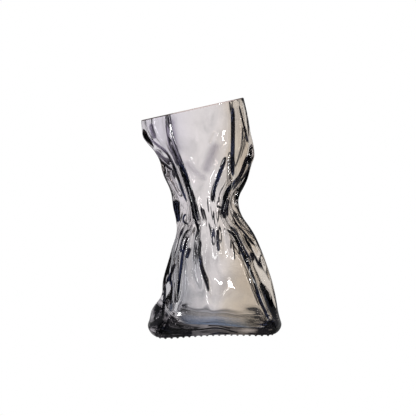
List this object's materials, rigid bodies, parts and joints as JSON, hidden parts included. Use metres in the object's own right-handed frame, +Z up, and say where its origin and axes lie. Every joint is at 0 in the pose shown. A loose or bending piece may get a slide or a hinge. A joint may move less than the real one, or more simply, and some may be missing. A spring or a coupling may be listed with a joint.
{
  "type": "vase",
  "caption": "Smoke-grey glass vase shaped like a crumpled paper bag, pinched and pleated at the waist, with a slanted rim and a thick foot.",
  "frame": {"origin": "middle of the vase's box, on the plane the stippled foot stands on", "axes": "+Z up along the height, -Y towards the front panel, +X towards the tall end of the rim"},
  "size_m": [0.1268, 0.0826, 0.2101],
  "materials": {
    "smoke_glass": "clear, glossy, tinted smoke grey in the glass itself"
  },
  "bodies": {
    "root": {"vase": "smoke_glass"}
  },
  "joints": []
}
